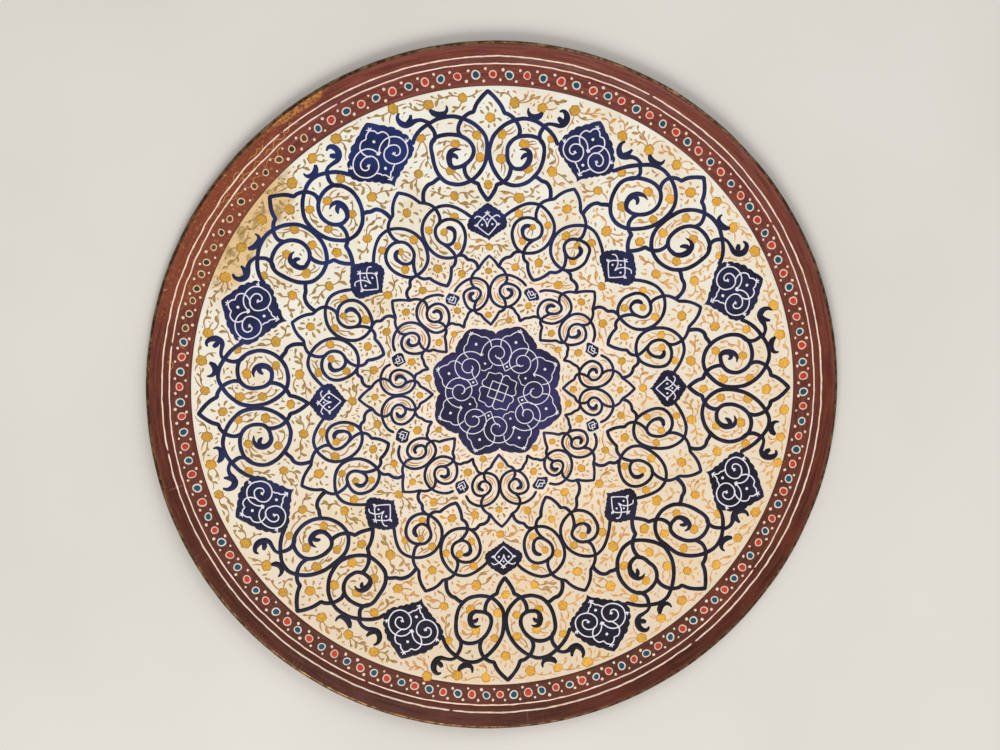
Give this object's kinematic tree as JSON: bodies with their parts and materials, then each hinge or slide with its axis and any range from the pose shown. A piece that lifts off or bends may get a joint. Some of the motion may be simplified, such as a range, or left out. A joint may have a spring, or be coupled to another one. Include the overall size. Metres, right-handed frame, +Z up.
{
  "type": "painted copper tray",
  "caption": "Round, almost flat copper tray with a low flared rim rolled over a wire, painted with a cream arabesque field and a maroon beaded border.",
  "frame": {"origin": "centre of the flat underside", "axes": "+Z up, out of the painted side, along the tray's axis; +X to the right and +Y away from a viewer looking down at the pattern"},
  "size_m": [0.3, 0.3, 0.0062],
  "materials": {
    "copper": "tarnished copper, hammered underneath and worn bright along the rolled edge",
    "wire": "drawn iron wire, hidden inside the rolled edge",
    "cream_paint": "satin cream ground, mottled and a little yellowed",
    "maroon_paint": "satin maroon with brush streaks, scratches and speckles",
    "cream_line_paint": "pinkish cream line, brushed by hand",
    "red_paint": "orange red bead centres",
    "blue_paint": "teal blue bead centres",
    "white_paint": "off-white dots and rings",
    "ochre_paint": "thin golden ochre with darker edges",
    "navy_paint": "deep navy with satin varnish, a little uneven"
  },
  "bodies": {
    "root": {"copper_pan": "copper", "rim_wire": "wire", "cream_ground": "cream_paint", "maroon_border": "maroon_paint", "inner_cream_line": "cream_line_paint", "outer_cream_line": "cream_line_paint", "bead_rings": "white_paint", "red_beads": "red_paint", "blue_beads": "blue_paint", "bead_dots": "white_paint", "centre_rosette": "navy_paint", "outer_medallions": "navy_paint", "middle_medallions": "navy_paint", "inner_medallions": "navy_paint", "outer_palmettes": "navy_paint", "middle_palmettes": "navy_paint", "inner_palmettes": "navy_paint", "ochre_flowers": "ochre_paint"}
  },
  "joints": []
}
